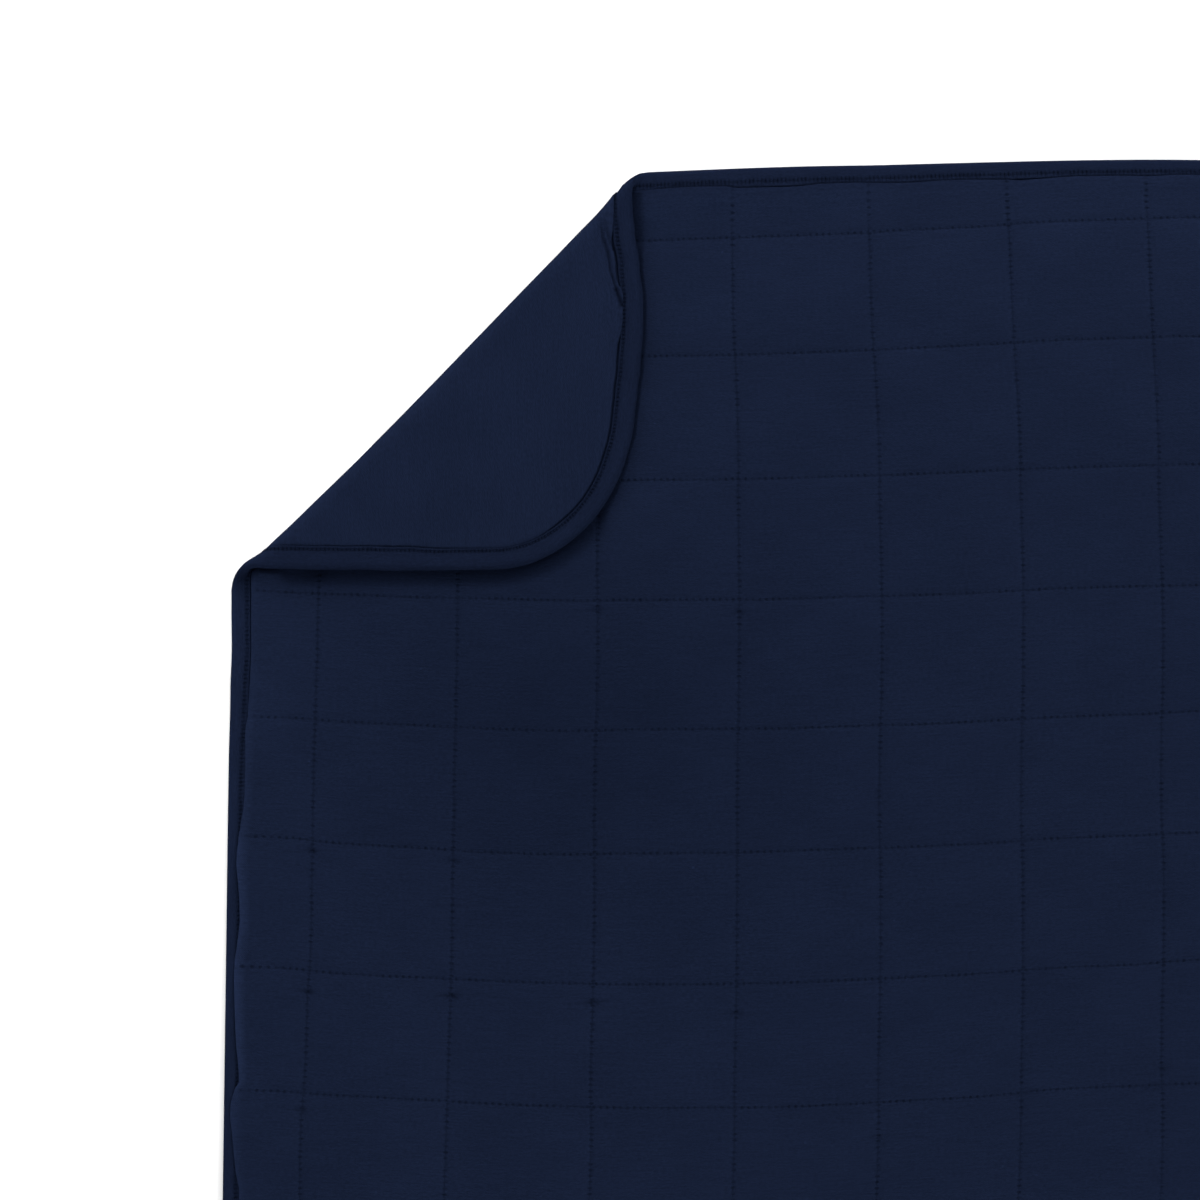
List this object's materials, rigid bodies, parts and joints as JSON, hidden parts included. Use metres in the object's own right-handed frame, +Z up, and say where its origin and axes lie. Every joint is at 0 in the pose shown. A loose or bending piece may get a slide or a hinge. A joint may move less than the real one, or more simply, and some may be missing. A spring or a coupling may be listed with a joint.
{
  "type": "quilted blanket",
  "caption": "Quilted navy jersey blanket lying flat, its corner folded over to show the plain back, with rounded corners and a narrow bound edge.",
  "frame": {"origin": "middle of the blanket's outline, on the surface that it lies on", "axes": "+X across the width, +Y along the length towards the end with the folded corner, +Z up, out of the quilted face"},
  "size_m": [1.08, 1.49, 0.0167],
  "materials": {
    "face_jersey": "fine cotton jersey knit, matt, quilted",
    "back_jersey": "fine cotton jersey knit, matt, plain",
    "binding_jersey": "jersey binding strip, matt"
  },
  "bodies": {
    "root": {"quilted_face": "face_jersey", "plain_back": "back_jersey", "binding": "binding_jersey"}
  },
  "joints": []
}
